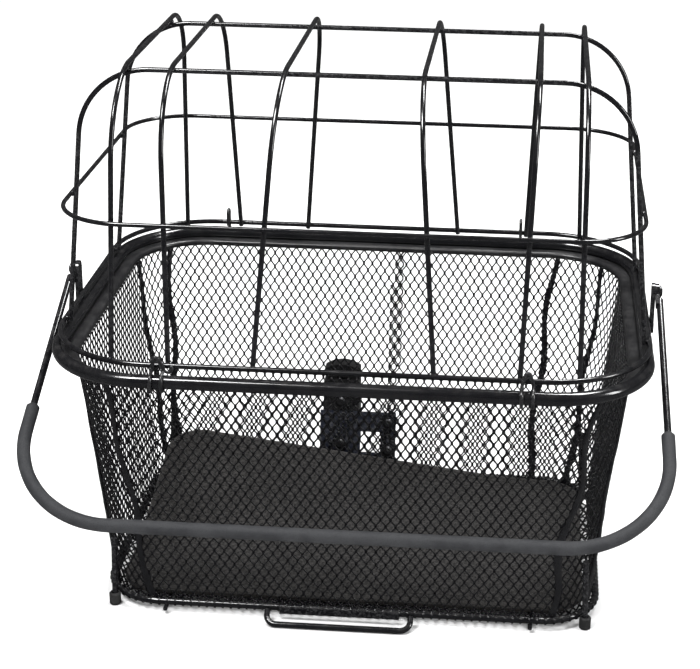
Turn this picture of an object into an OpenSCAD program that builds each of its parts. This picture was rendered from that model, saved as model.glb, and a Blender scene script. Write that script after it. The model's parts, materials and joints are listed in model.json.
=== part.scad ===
// Handlebar basket for a small pet: an expanded-metal basket on a tube rim, with a
// hinged wire dome, a carrying handle, a loose floor mat and an adapter on the back wall.
// Millimetres, +Z up, -Y is the front. The origin is at the middle of the footprint.

/* [Rim] */
// Half of the width between the rim tube's centre lines
rim_half_w = 195; // [180:1:210]
// Half of the depth between the rim tube's centre lines
rim_half_d = 148; // [140:1:156]
// Corner radius of the rim's centre line
rim_corner_r = 65; // [55:1:70]
// Height of the rim's centre line above the ground
rim_z = 190; // [180:1:210]
// Diameter of the rim tube
rim_tube_d = 9; // [8:0.5:10]
// Distance from the rim's centre line to the top edge of the mesh
hem_reach = 12.5; // [11:0.5:14]
// Thickness of the folded hem strip
hem_t = 1; // [0.8:0.1:1.4]

/* [Mesh basket] */
// Thickness of the expanded metal
mesh_t = 1.6; // [1.2:0.1:2]
// Half of the base ring's width, between centre lines
base_half_w = 169.5; // [165:0.5:174]
// Half of the base ring's depth, between centre lines
base_half_d = 107; // [102:0.5:112]
// Corner radius of the base ring
base_corner_r = 40; // [34:1:46]
// Height of the base ring's centre line
base_z = 8; // [7.5:0.5:10]
// Diameter of the base ring wire
base_wire_d = 4.6; // [4:0.2:5]
// Diameter of the leg wires and of the front loop
leg_wire_d = 4; // [3.6:0.2:4.4]
// Diameter of the runner wires
runner_wire_d = 3; // [2.6:0.2:3.2]
// Distance of each runner from the middle
runner_x = 125; // [110:1:130]

/* [Dome] */
// Half of the dome ring's width
dome_half_w = 196.5; // [194:0.5:197]
// Half of the dome ring's depth
dome_half_d = 145.5; // [143:0.5:147]
// Corner radius of the dome ring
dome_corner_r = 70; // [60:1:74]
// How far the dome sits behind the middle of the rim
dome_back = 5.5; // [4:0.5:6]
// Height of the dome ring's centre line above the rim's centre line
dome_lift = 8; // [7:0.5:9]
// Height of the top of the lengthwise hoops above the rim's centre line
dome_top = 182; // [160:1:190]
// Diameter of the dome ring wire
ring_wire_d = 3.6; // [3.2:0.1:4]
// Diameter of the hoop wires
hoop_wire_d = 3.4; // [3:0.1:3.6]
// Diameter of the mid-height ring wire
mid_wire_d = 3; // [2.8:0.1:3.2]

/* [Handle] */
// Distance from the pivot to the grip's centre line
handle_reach = 204.5; // [203:0.5:210]
// Half of the distance between the arms at the grip
handle_half_w = 211.5; // [210:0.5:214]
// Bend radius between arm and grip
handle_corner_r = 66; // [50:1:70]
// Angle of the handle below the horizontal, in the rest position
handle_rest_deg = 31.5; // [0:0.5:45]
// Diameter of the handle wire
handle_wire_d = 4.8; // [4.6:0.2:5]
// Outer diameter of the foam grip
grip_d = 9; // [8:0.5:10]
// Height of the handle pivot above the rim's centre line
pivot_up = 24; // [22:0.5:26]
// Distance of the handle pivot in front of the middle of the rim
pivot_front = 12; // [8:0.5:14]

/* [Adapter] */
// Middle of the latch housing, measured to the left of the basket's middle
housing_x = 29; // [27:0.5:31]
// Width of the latch housing
housing_w = 28; // [27:0.5:29]
// Height of the top of the button above the ground
button_top_z = 92; // [90:1:94]
// Travel of the release button
button_travel = 3; // [2:0.5:3]

/* [Hidden] */
$fn = 40;
gap = 0.05;               // between welded pieces
swing_gap = 0.3;          // between pieces that move past each other

// mesh walls: middle of the sheet at the hem and at the floor
wall_top_z = rim_z - rim_tube_d / 2 + 0.3;
wall_top_w = rim_half_w - hem_reach + mesh_t / 2;
wall_top_d = rim_half_d - hem_reach + mesh_t / 2;
wall_top_r = rim_corner_r - hem_reach + mesh_t / 2;
wall_low_z = base_z - mesh_t / 2;
wall_low_in = base_wire_d / 2 + mesh_t / 2 + 0.2;
wall_low_w = base_half_w - wall_low_in;
wall_low_d = base_half_d - wall_low_in;
wall_low_r = base_corner_r - wall_low_in;
wall_lean = atan((wall_top_d - wall_low_d) / (wall_top_z - wall_low_z));

// dome
ring_z = rim_z + dome_lift;
hoop_z = rim_z + dome_top;
cross_z = hoop_z + hoop_wire_d + gap;
ring_inset = ring_wire_d / 2 + hoop_wire_d / 2 + gap;
foot_r = 4;
foot_out = wall_low_in + base_wire_d / 2 + foot_r + 0.1;  // from the mesh to a foot's middle
nub = 1.6;                // hoop ends reach this far below the ring's centre line
long_front_y = -66;
long_rear_y = 76.5;
long_top_w = 177.5;
long_r = 48;
cross_front_y = -112;
cross_rear_y = 121;
cross_front_r = 60;
cross_rear_r = 43;
// sideways places of the cross hoops: front foot, top, rear foot
cross_x = [[149.5, 147.8, 153], [112, 117.7, 111.7], [57.5, 44.4, 58.6]];
mid_z = rim_z + 97;
mid_share = (mid_z - ring_z) / (hoop_z - ring_z);
mid_r = 46;

// rear eyes and front clips
eye_x = [-122, 107.5];
eye_wire_d = 2.4;
clip_x = [-117, 117];
clip_wire_d = 2.4;

// handle
ear_t = 2.4;
ear_x = rim_half_w + rim_tube_d / 2 + gap;
pivot_y = -pivot_front;
pivot_z = rim_z + pivot_up;
rivet_r = 2.5;
bail_eye_r = 5.6;
bail_eye_t = 2.4;
bail_eye_x = ear_x + ear_t + 0.3;
bail_x = bail_eye_x + handle_wire_d / 2 + 0.3;
bail_from = 7;            // from the pivot to the start of the round wire
grip_up_arm = 88;         // length of each arm that the grip covers

// adapter
face_y = 137;             // upright back face of the latch housing
plate_t = 2;
screw_r = 2;
housing_low_z = 24;
housing_top_z = 79;
slot_w = 12;
slot_deep = 6;
slot_top_z = 62;
stem_w = 8;
stem_t = 5;
stem_y = 128;
stem_low_z = 66;
spring_low_z = 56;

// overall reach in front and behind sets the middle of the footprint
front_reach = pivot_front + handle_reach * cos(handle_rest_deg) + grip_d / 2;
back_reach = dome_back + dome_half_d + ring_wire_d / 2 + 0.3 + eye_wire_d;
basket_y = (front_reach - back_reach) / 2;

function unit(v) = v / norm(v);
function tenth(x) = round(10 * x) / 10;
function mix(a, b, t) = a + (b - a) * t;
// distance of a rounded rectangle's edge from the middle line, at x
function edge_y(x, w, d, r) = abs(x) <= w - r ? d : d - r + sqrt(r * r - pow(abs(x) - w + r, 2));
function wall_y(z) = mix(wall_low_d, wall_top_d, (z - wall_low_z) / (wall_top_z - wall_low_z)) + mesh_t / 2;
// a point on the outside of the corner wires, at height z, for the corner sx, sy
function corner_point(z, out, sx, sy) =
  let (t = (z - wall_low_z) / (wall_top_z - wall_low_z),
       w = mix(wall_low_w, wall_top_w, t), d = mix(wall_low_d, wall_top_d, t),
       r = mix(wall_low_r, wall_top_r, t), k = (r + out) * cos(45))
  [sx * (w - r + k), sy * (d - r + k), z];

// puts a piece drawn about the basket's own middle line into the part's frame
module place() translate([0, basket_y, 0]) children();

// one straight length of round wire
module rod(a, b, d) {
  v = b - a;
  translate(a)
    rotate([0, acos(v[2] / norm(v)), atan2(v[1], v[0])])
      cylinder(h = norm(v), d = d);
}

// one bend of round wire or tube at p, between the points a and b
module bend(a, p, b, r, d, bore = 0) {
  u = unit(a - p);
  v = unit(b - p);
  inner = acos(u * v);
  s = p + u * (r / tan(inner / 2));
  e = p + v * (r / tan(inner / 2));
  c = p + unit(u + v) * (r / sin(inner / 2));
  ex = unit(s - c);
  ez = unit(cross(s - c, e - c));
  ey = cross(ez, ex);
  multmatrix([[ex[0], ey[0], ez[0], c[0]],
              [ex[1], ey[1], ez[1], c[1]],
              [ex[2], ey[2], ez[2], c[2]],
              [0, 0, 0, 1]])
    rotate_extrude(angle = 180 - inner)
      translate([r, 0])
        if (bore > 0) difference() {
          circle(d = d);
          circle(d = bore);
        }
        else circle(d = d);
}

// round wire through the points p, bent to the radii r at the inner points
function bend_len(p, r, i) =
  i <= 0 || i >= len(p) - 1 ? 0
  : r[i - 1] / tan(acos(unit(p[i - 1] - p[i]) * unit(p[i + 1] - p[i])) / 2);
module bent_wire(p, r, d) {
  for (i = [0 : len(p) - 2]) {
    along = unit(p[i + 1] - p[i]);
    rod(p[i] + along * bend_len(p, r, i), p[i + 1] - along * bend_len(p, r, i + 1), d);
  }
  for (i = [1 : len(p) - 2]) {
    bend(p[i - 1], p[i], p[i + 1], r[i - 1], d);
    // a ball a hair thicker than the wire joins each bend to its straight lengths
    for (q = [p[i - 1], p[i + 1]])
      translate(p[i] + unit(q - p[i]) * bend_len(p, r, i)) sphere(d = d + 0.06);
  }
}

// the same wire or tube as separate lengths and bends, a hair apart from each other
wire_gap = 0.01;
module parted_wire(p, r, d, bore = 0) {
  for (i = [0 : len(p) - 2]) {
    along = unit(p[i + 1] - p[i]);
    from = p[i] + along * (bend_len(p, r, i) + (i > 0 ? wire_gap : 0));
    to = p[i + 1] - along * (bend_len(p, r, i + 1) + (i < len(p) - 2 ? wire_gap : 0));
    if (bore > 0) difference() {
      rod(from, to, d);
      rod(from - along, to + along, bore);
    }
    else rod(from, to, d);
  }
  for (i = [1 : len(p) - 2]) bend(p[i - 1], p[i], p[i + 1], r[i - 1], d, bore);
}

// closed ring of round wire: a rounded rectangle of half sizes w and d
module ring_wire(w, d, r, wire) {
  for (s = [-1, 1]) {
    translate([0, s * d, 0]) rotate([0, 90, 0]) cylinder(h = 2 * (w - r), d = wire, center = true);
    translate([s * w, 0, 0]) rotate([90, 0, 0]) cylinder(h = 2 * (d - r), d = wire, center = true);
  }
  for (i = [0 : 3])
    translate([(i == 0 || i == 3 ? 1 : -1) * (w - r), (i < 2 ? 1 : -1) * (d - r), 0])
      rotate([0, 0, 90 * i])
        rotate_extrude(angle = 90) translate([r, 0]) circle(d = wire);
}

module rounded_plate(w, d, r) {
  square([2 * w, 2 * (d - r)], center = true);
  square([2 * (w - r), 2 * d], center = true);
  for (sx = [-1, 1])
    for (sy = [-1, 1])
      translate([sx * (w - r), sy * (d - r)]) circle(r = r, $fn = 64);
}

// solid that tapers from one rounded rectangle to another
module tapered_block(grow, low_z, top_z) {
  hull() {
    translate([0, 0, low_z]) linear_extrude(0.01)
      rounded_plate(wall_low_w + grow, wall_low_d + grow, wall_low_r + grow, $fn = 32);
    translate([0, 0, top_z - 0.01]) linear_extrude(0.01)
      rounded_plate(wall_top_w + grow, wall_top_d + grow, wall_top_r + grow, $fn = 32);
  }
}

// ---- rim and mesh basket ----
module rim_tube() {
  color("#141416") place() translate([0, 0, rim_z])
    ring_wire(rim_half_w, rim_half_d, rim_corner_r, rim_tube_d);
}

// room for the two strands of each front clip to swing round the tube
module clip_notches() {
  for (x = clip_x)
    translate([x, -rim_half_d, rim_z]) rotate([0, 90, 0])
      cylinder(r = rim_tube_d / 2 + clip_wire_d + 1, h = 16, center = true);
}

module hem_band() {
  tube_in = sqrt(pow(rim_tube_d / 2, 2) - pow(rim_tube_d / 2 - 1.5, 2)) + gap;
  color("#26262a") place() difference() {
    translate([0, 0, wall_top_z + gap]) linear_extrude(hem_t) difference() {
      rounded_plate(rim_half_w - tube_in, rim_half_d - tube_in, rim_corner_r - tube_in);
      rounded_plate(rim_half_w - hem_reach, rim_half_d - hem_reach, rim_corner_r - hem_reach);
    }
    clip_notches();
  }
}

module mesh_wall() {
  color("#1b1b1e") place() difference() {
    tapered_block(mesh_t / 2, wall_low_z, wall_top_z);
    tapered_block(-mesh_t / 2, wall_low_z - 0.01, wall_top_z + 0.01);
    clip_notches();
    adapter_bores();
  }
}

module mesh_floor() {
  inset = mesh_t / 2 + gap;
  color("#1b1b1e") place() translate([0, 0, wall_low_z]) linear_extrude(mesh_t)
    rounded_plate(wall_low_w - inset, wall_low_d - inset, wall_low_r - inset);
}

module base_ring() {
  color("#141416") place() translate([0, 0, base_z])
    ring_wire(base_half_w, base_half_d, base_corner_r, base_wire_d);
}

// straight wire under the base ring, from front to back
module runner(side) {
  z = base_z - base_wire_d / 2 - runner_wire_d / 2 - gap;
  reach = base_half_d + 4;
  color("#141416") place() translate([side * runner_x, 0, z]) rotate([90, 0, 0])
    cylinder(h = 2 * reach, d = runner_wire_d, center = true);
}
module runner_left() runner(-1);
module runner_right() runner(1);

function foot_at(sx, sy) = let (p = corner_point(wall_low_z, foot_out, sx, sy)) [p[0], p[1], 0];

// corner wire from its foot up to where it meets the mesh
module leg(sx, sy) {
  low = foot_at(sx, sy) + [0, 0, 4];
  high = corner_point(52, mesh_t / 2 + leg_wire_d / 2 + 0.4, sx, sy);
  color("#303034") place() rod(low, high, leg_wire_d);
}
module leg_front_left() leg(-1, -1);
module leg_front_right() leg(1, -1);
module leg_rear_left() leg(-1, 1);
module leg_rear_right() leg(1, 1);

// rubber cap, closed at the bottom, on the end of a leg
module foot(sx, sy) {
  p = foot_at(sx, sy);
  color("#0c0c0d") place() translate(p) difference() {
    rotate_extrude()
      polygon([[0, 0], [foot_r - 0.8, 0], [foot_r, 0.8], [foot_r, 8], [foot_r - 0.8, 9], [0, 9]]);
    translate([0, 0, 3.6]) cylinder(d = leg_wire_d + 1.4, h = 10);
  }
}
module foot_front_left() foot(-1, -1);
module foot_front_right() foot(1, -1);
module foot_rear_left() foot(-1, 1);
module foot_rear_right() foot(1, 1);

// wire loop that reaches forward and down from the front edge
module front_loop() {
  half = 49;
  r = 7;
  forward = 9;
  down = 5.6;
  reach = norm([forward, down]);
  y_root = -base_half_d - base_wire_d / 2 - leg_wire_d / 2 - gap;
  color("#141416") place() translate([-5, y_root, base_z]) rotate([atan2(down, forward), 0, 0]) {
    translate([0, -reach, 0]) rotate([0, 90, 0]) cylinder(h = 2 * (half - r), d = leg_wire_d, center = true);
    for (s = [-1, 1]) {
      translate([s * half, r - reach, 0]) rotate([-90, 0, 0]) cylinder(h = reach - r, d = leg_wire_d);
      translate([s * (half - r), r - reach, 0]) rotate([0, 0, s < 0 ? 180 : 270])
        rotate_extrude(angle = 90) translate([r, 0]) circle(d = leg_wire_d);
    }
  }
}

module front_strip() {
  y = -base_half_d - base_wire_d / 2 - gap - 1.5;
  color("#26262a") place() translate([-46, y, base_z - 3]) cube([82, 1.5, 5]);
}

// loose mat: flat, with the back left corner riding up the wall
module mat() {
  w = wall_low_w - 5;
  d = wall_low_d - 5;
  t = 4;
  z = wall_low_z + mesh_t + gap;
  fold_a = [118, d];
  fold_b = [-w, -32];
  fold_dir = atan2(fold_a[1] - fold_b[1], fold_a[0] - fold_b[0]);
  color("#2c2c2e") place() translate([0, 0, z]) {
    linear_extrude(t) difference() {
      rounded_plate(w, d, 28);
      translate(fold_b) rotate(fold_dir) translate([-100, 0]) square([600, 300]);
    }
    translate(fold_b) rotate([0, 0, fold_dir]) rotate([18, 0, 0]) rotate([0, 0, -fold_dir]) translate(-fold_b)
      linear_extrude(t) intersection() {
        rounded_plate(w, d, 28);
        translate(fold_b) rotate(fold_dir) translate([-100, 0]) square([600, 300]);
      }
  }
}

// ---- handle mountings ----
module ear(side) {
  color("#222225") place() mirror([side < 0 ? 1 : 0, 0, 0]) difference() {
    union() {
      translate([ear_x, pivot_y, pivot_z]) rotate([0, 90, 0]) cylinder(r = 6, h = ear_t);
      translate([ear_x, pivot_y - 6, rim_z - 3.5]) cube([ear_t, 12, pivot_up + 3.5]);
      translate([ear_x, pivot_y - 8, rim_z - 3.5]) cube([ear_t, 16, 7]);
    }
    translate([ear_x - 1, pivot_y, pivot_z]) rotate([0, 90, 0]) cylinder(r = rivet_r + 0.02, h = ear_t + 2);
  }
}
module ear_left() ear(-1);
module ear_right() ear(1);

module rivet(side) {
  shank = ear_t + bail_eye_t + 0.6;
  color("#5a5a5e") place() mirror([side < 0 ? 1 : 0, 0, 0]) translate([ear_x, pivot_y, pivot_z])
    rotate([0, 90, 0]) {
      cylinder(r = rivet_r, h = shank);
      translate([0, 0, shank]) cylinder(r = 4.4, h = 0.8);
      translate([0, 0, shank + 0.8]) cylinder(r1 = 4.4, r2 = 2.4, h = 1.2);
    }
}
module rivet_left() rivet(-1);
module rivet_right() rivet(1);

// ---- handle ----
module handle_pose() place() translate([0, pivot_y, pivot_z]) rotate([handle_rest_deg, 0, 0]) children();

// centre line of the bail and its grip, from arm to arm; each arm starts at the distance from
function bail_path(from) =
  let (lean = (handle_half_w - bail_x) / (handle_reach - bail_from),
       x = bail_x + lean * (from - bail_from))
  [[-x, -from, 0], [-handle_half_w, -handle_reach, 0], [handle_half_w, -handle_reach, 0], [x, -from, 0]];

module handle_bail() {
  color("#1d1d20") handle_pose() {
    parted_wire(bail_path(bail_from), [handle_corner_r, handle_corner_r], handle_wire_d);
    for (s = [-1, 1])
      translate([s * (bail_eye_x + bail_eye_t / 2), 0, 0]) difference() {
        union() {
          rotate([0, 90, 0]) cylinder(r = bail_eye_r, h = bail_eye_t, center = true);
          translate([0, -8, 0]) cube([bail_eye_t, 9, 6.4], center = true);
        }
        rotate([0, 90, 0]) cylinder(r = rivet_r + 0.08, h = 20, center = true);
      }
  }
}

// foam sleeve over the bail, from arm to arm
module handle_grip() {
  path = bail_path(handle_reach - grip_up_arm);
  color("#3a3a3c") handle_pose()
    parted_wire(path, [handle_corner_r, handle_corner_r], grip_d, handle_wire_d + 0.1);
}

// ---- dome ----
module dome_pose() place() translate([0, dome_back, 0]) children();

module dome_ring() {
  color("#161618") dome_pose() translate([0, 0, ring_z])
    ring_wire(dome_half_w, dome_half_d, dome_corner_r, ring_wire_d);
}

// the long hoops lean in from the ring to the top
function long_foot_x() = dome_half_w - ring_inset;
function long_x(z) = mix(long_foot_x(), long_top_w, (z - ring_z) / (hoop_z - ring_z));
module long_hoop(y) {
  top = [long_top_w, y, hoop_z];
  foot_x = long_x(ring_z - nub);
  color("#161618") place()
    parted_wire([[-foot_x, y, ring_z - nub], [-top[0], y, top[2]], top, [foot_x, y, ring_z - nub]],
                [long_r, long_r], hoop_wire_d);
}
module dome_long_hoop_front() long_hoop(long_front_y);
module dome_long_hoop_rear() long_hoop(long_rear_y);

function cross_foot_y(x) = edge_y(x, dome_half_w, dome_half_d, dome_corner_r) - ring_inset;
module cross_hoop(side, k) {
  x = cross_x[k] * side;
  front_foot = [x[0], dome_back - cross_foot_y(x[0]), ring_z];
  rear_foot = [x[2], dome_back + cross_foot_y(x[2]), ring_z];
  front_top = [x[1], cross_front_y, cross_z];
  rear_top = [x[1], cross_rear_y, cross_z];
  front_nub = front_foot - unit(front_top - front_foot) * nub;
  rear_nub = rear_foot - unit(rear_top - rear_foot) * nub;
  color("#161618") place()
    bent_wire([front_nub, front_top, rear_top, rear_nub], [cross_front_r, cross_rear_r], hoop_wire_d);
}
module dome_cross_hoop_1() cross_hoop(-1, 0);
module dome_cross_hoop_2() cross_hoop(-1, 1);
module dome_cross_hoop_3() cross_hoop(-1, 2);
module dome_cross_hoop_4() cross_hoop(1, 2);
module dome_cross_hoop_5() cross_hoop(1, 1);
module dome_cross_hoop_6() cross_hoop(1, 0);

// mid ring: outside all the legs
module dome_mid_ring() {
  step = hoop_wire_d / 2 + mid_wire_d / 2 + gap;
  w = long_x(mid_z) + step;
  front = mix(dome_back - dome_half_d + ring_inset, cross_front_y, mid_share) - step;
  rear = mix(dome_back + dome_half_d - ring_inset, cross_rear_y, mid_share) + step;
  color("#161618") place() translate([0, (front + rear) / 2, mid_z])
    ring_wire(tenth(w), tenth((rear - front) / 2), mid_r, mid_wire_d);
}

// ---- rear eyes: upright wire loops that the dome ring turns in ----
module rear_eye(x) {
  y = dome_back + dome_half_d;
  r = ring_wire_d / 2 + swing_gap + eye_wire_d / 2;
  touch = rim_tube_d / 2 + eye_wire_d / 2 + gap;
  top = ring_z + 10;
  front_foot = [x, y - r, rim_z + sqrt(pow(touch, 2) - pow(y - r - rim_half_d, 2)) + 0.2];
  rear_foot = [x, rim_half_d + touch, rim_z - 1];
  color("#202023") place()
    bent_wire([front_foot, [x, y - r, top], [x, y + r, top], rear_foot], [r - 0.3, r - 0.3], eye_wire_d);
}
module rear_eye_left() rear_eye(eye_x[0]);
module rear_eye_right() rear_eye(eye_x[1]);

// ---- front clips: two strands round the tube that rise into a loop, with a hook over the ring ----
module clip(x) {
  wrap = rim_tube_d / 2 + 0.1 + clip_wire_d / 2;
  wrap_from = 105;
  wrap_turn = 175;
  strand = 3.6;
  loop_r = 1.7;
  hook_r = 14.9;            // clears the ring as the clip swings
  hook_from = 38;
  hook_turn = 57;
  bend_at = [3.5, 7];
  hook_y = hook_r * cos(hook_from + hook_turn);
  hook_z = hook_r * sin(hook_from + hook_turn);
  loop_y = -1.9;
  loop_z = 15.8;
  color("#202023") place() translate([x, -rim_half_d, rim_z]) {
    for (s = [-1, 1]) {
      translate([s * strand, 0, 0]) rotate([90, 0, 90])
        rotate([0, 0, wrap_from]) rotate_extrude(angle = wrap_turn) translate([wrap, 0]) circle(d = clip_wire_d);
      path = [[s * strand, wrap * cos(wrap_from), wrap * sin(wrap_from)],
              [s * strand, bend_at[0], bend_at[1]], [s * loop_r, loop_y, loop_z]];
      bent_wire(path, [1.5], clip_wire_d);
      for (p = [path[0], path[2]])
        translate(p) sphere(d = clip_wire_d + 0.06);
    }
    translate([0, loop_y, loop_z]) rotate([90, 0, 0])
      rotate_extrude(angle = 180) translate([loop_r, 0]) circle(d = clip_wire_d);
    rotate([90, 0, 90]) rotate([0, 0, hook_from])
      rotate_extrude(angle = hook_turn) translate([hook_r, 0]) circle(d = clip_wire_d);
    translate([0, hook_y, hook_z]) {
      sphere(d = clip_wire_d + 0.06);
      rotate([0, 90, 0]) cylinder(d = clip_wire_d, h = 2 * loop_r, center = true);
    }
  }
}
module clip_left() clip(clip_x[0]);
module clip_right() clip(clip_x[1]);

// ---- adapter on the outside of the back wall ----
module on_back_wall() translate([0, wall_y(wall_low_z), wall_low_z]) rotate([-wall_lean, 0, 0]) children();
// screws: sideways place and height up the wall
screw_at = [[-housing_x, 24], [-housing_x, 58], [9, 20], [9, 42]];

module adapter_bores() {
  on_back_wall() for (s = screw_at)
    translate([s[0], 0, s[1]]) rotate([90, 0, 0]) cylinder(r = screw_r + 0.1, h = 20, center = true);
}

module adapter_plate() {
  color("#1c1f2a") place() on_back_wall() difference() {
    translate([-45, gap, 12]) cube([60, plate_t, 38]);
    translate([-13, -1, 17]) cube([16, plate_t + 3, 17]);
    for (s = screw_at)
      translate([s[0], 0, s[1]]) rotate([90, 0, 0]) cylinder(r = screw_r + 0.1, h = 20, center = true);
  }
}

// wedge that turns the leaning wall into an upright mounting face
module adapter_housing() {
  y_off = plate_t + 2 * gap;
  color("#0f0f11") place() difference() {
    translate([-housing_x - housing_w / 2, 0, 0]) rotate([90, 0, 90]) linear_extrude(housing_w)
      polygon([[wall_y(housing_low_z) + y_off * 1.02, housing_low_z], [face_y, housing_low_z],
               [face_y, housing_top_z], [wall_y(housing_top_z) + y_off * 1.02, housing_top_z]]);
    // upright slot for the bracket on the handlebar, open at the bottom
    translate([-housing_x - slot_w / 2, face_y - slot_deep, housing_low_z - 1])
      cube([slot_w, slot_deep + 1, slot_top_z - housing_low_z + 1]);
    // well for the button's stem and its spring
    translate([-housing_x - stem_w / 2 - 0.2, stem_y - stem_t / 2 - 0.2, spring_low_z])
      cube([stem_w + 0.4, stem_t + 0.4, housing_top_z]);
    on_back_wall() for (s = screw_at)
      if (s[0] < 0) {
        translate([s[0], 0, s[1]]) rotate([90, 0, 0]) cylinder(r = screw_r + 0.1, h = 26, center = true);
        translate([s[0], 5.5, s[1]]) rotate([-90, 0, 0]) cylinder(r = 4.3, h = 40);
      }
  }
}

// low round heads inside the basket, shanks through the mesh
module adapter_screws() {
  color("#3c3c40") place() on_back_wall() for (s = screw_at)
    translate([s[0], -mesh_t - gap, s[1]]) rotate([-90, 0, 0]) {
      cylinder(r = screw_r, h = mesh_t + 10);
      translate([0, 0, -0.8]) cylinder(r = 5, h = 0.8);
      translate([0, 0, -2.2]) cylinder(r1 = 2.6, r2 = 3.8, h = 1.4);
    }
}

module adapter_nuts() {
  color("#8a8a8e") place() on_back_wall() for (s = screw_at)
    translate([s[0], s[0] < 0 ? 5.6 : plate_t + 2 * gap, s[1]]) rotate([-90, 0, 0]) difference() {
      cylinder(r = 4, h = 3.2, $fn = 6);
      translate([0, 0, -1]) cylinder(r = screw_r + 0.03, h = 6, $fn = 40);
    }
}

// ribbed thumb button with a rounded top, on a stem in the housing
module release_button() {
  head_low = housing_top_z + button_travel + 0.4;
  head_t = 13;
  y0 = face_y - 1 - head_t;
  head_h = button_top_z - head_low;
  color("#0f0f11") place() {
    intersection() {
      translate([-housing_x, y0, head_low]) rotate([-90, 0, 0]) linear_extrude(head_t)
        intersection() {
          translate([-housing_w / 2, -head_h]) square([housing_w, head_h]);
          translate([0, 14]) circle(r = 14 + head_h);
        }
      translate([-housing_x - housing_w / 2 - 1, y0 - 1, head_low - 1]) cube([housing_w + 2, head_t + 2, head_h + 2]);
    }
    for (i = [-3 : 3])
      translate([-housing_x + i * 3 - 0.6, y0 - 0.6, head_low + 1.2]) cube([1.2, 1, head_h - 3.4 - abs(i) * 0.5]);
    translate([-housing_x - stem_w / 2, stem_y - stem_t / 2, stem_low_z])
      cube([stem_w, stem_t, head_low - stem_low_z + 1]);
  }
}

// coil spring under the stem: one swept tube
module button_spring() {
  turns = 5;
  steps = 14;
  sides = 6;
  coil_r = 1.9;
  wire_r = 0.3;
  low = spring_low_z + wire_r + gap;
  rise = stem_low_z - spring_low_z - 2 * wire_r - 2 * gap;
  count = turns * steps;
  points = [for (i = [0 : count]) for (k = [0 : sides - 1])
    let (a = 360 * i / steps, b = 360 * k / sides, r = coil_r + wire_r * cos(b))
    [r * cos(a), r * sin(a), low + rise * i / count + wire_r * sin(b)]];
  walls = [for (i = [0 : count - 1]) for (k = [0 : sides - 1])
    let (n = (k + 1) % sides) [i * sides + k, i * sides + n, (i + 1) * sides + n, (i + 1) * sides + k]];
  first = [for (k = [sides - 1 : -1 : 0]) k];
  last = [for (k = [0 : sides - 1]) count * sides + k];
  color("silver") place() translate([-housing_x, stem_y, 0])
    polyhedron(points = points, faces = concat([first], walls, [last]));
}

rim_tube();
hem_band();
mesh_wall();
mesh_floor();
base_ring();
runner_left();
runner_right();
leg_front_left();
leg_front_right();
leg_rear_left();
leg_rear_right();
foot_front_left();
foot_front_right();
foot_rear_left();
foot_rear_right();
front_loop();
front_strip();
mat();
ear_left();
ear_right();
rivet_left();
rivet_right();
rear_eye_left();
rear_eye_right();
adapter_plate();
adapter_housing();
adapter_screws();
adapter_nuts();
release_button();
button_spring();
handle_bail();
handle_grip();
dome_ring();
dome_mid_ring();
dome_long_hoop_front();
dome_long_hoop_rear();
dome_cross_hoop_1();
dome_cross_hoop_2();
dome_cross_hoop_3();
dome_cross_hoop_4();
dome_cross_hoop_5();
dome_cross_hoop_6();
clip_left();
clip_right();
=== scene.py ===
"""Looks of a wire-domed handlebar basket, built around its fixed design frame.

Each sub-assembly is a class with its sizes as fields, each finish a small frozen dataclass.
All lengths are metres. The basket's own middle line stands at the rim tube's centre.
"""

import json
import logging
import math
from collections.abc import Callable, Sequence
from dataclasses import dataclass, field
from enum import Enum

import bpy
import numpy as np
from mathutils import Matrix, Vector
from mathutils.bvhtree import BVHTree


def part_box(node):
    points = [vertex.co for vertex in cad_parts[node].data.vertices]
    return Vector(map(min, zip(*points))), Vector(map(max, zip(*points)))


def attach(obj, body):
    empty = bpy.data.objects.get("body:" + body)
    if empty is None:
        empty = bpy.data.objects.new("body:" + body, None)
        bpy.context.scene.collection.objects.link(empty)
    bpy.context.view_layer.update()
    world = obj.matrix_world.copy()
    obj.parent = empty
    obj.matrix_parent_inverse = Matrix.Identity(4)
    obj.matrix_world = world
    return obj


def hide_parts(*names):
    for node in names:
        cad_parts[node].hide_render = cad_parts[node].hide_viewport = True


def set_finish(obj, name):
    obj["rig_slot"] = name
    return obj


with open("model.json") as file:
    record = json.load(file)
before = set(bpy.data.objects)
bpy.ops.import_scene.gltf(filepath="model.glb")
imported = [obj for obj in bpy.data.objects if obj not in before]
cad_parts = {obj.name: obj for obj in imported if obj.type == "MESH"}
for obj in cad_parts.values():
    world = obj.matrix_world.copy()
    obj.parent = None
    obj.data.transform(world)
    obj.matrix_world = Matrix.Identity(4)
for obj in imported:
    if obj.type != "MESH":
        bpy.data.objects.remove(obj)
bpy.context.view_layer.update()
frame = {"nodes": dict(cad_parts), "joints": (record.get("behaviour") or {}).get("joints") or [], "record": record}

log = logging.getLogger("handlebar_basket")
MM = 0.001
Points = np.ndarray
Colour = tuple[float, float, float]


# ---- mesh making ----
def make_piece(name: str, verts: Points, faces: Sequence, finish: bpy.types.Material) -> bpy.types.Object:
    """Makes one smooth-shaded mesh object.

    Args:
        name: the piece's name.
        verts: its points, one row each.
        faces: lists of point numbers.
        finish: the material it wears.

    Returns:
        The new object, linked to the scene.
    """
    mesh = bpy.data.meshes.new(name)
    mesh.from_pydata([tuple(p) for p in np.asarray(verts, float)], [], [tuple(map(int, f)) for f in faces])
    mesh.materials.append(finish)
    mesh.polygons.foreach_set("use_smooth", [True] * len(mesh.polygons))
    mesh.update()
    piece = bpy.data.objects.new(name, mesh)
    bpy.context.scene.collection.objects.link(piece)
    return piece


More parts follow.
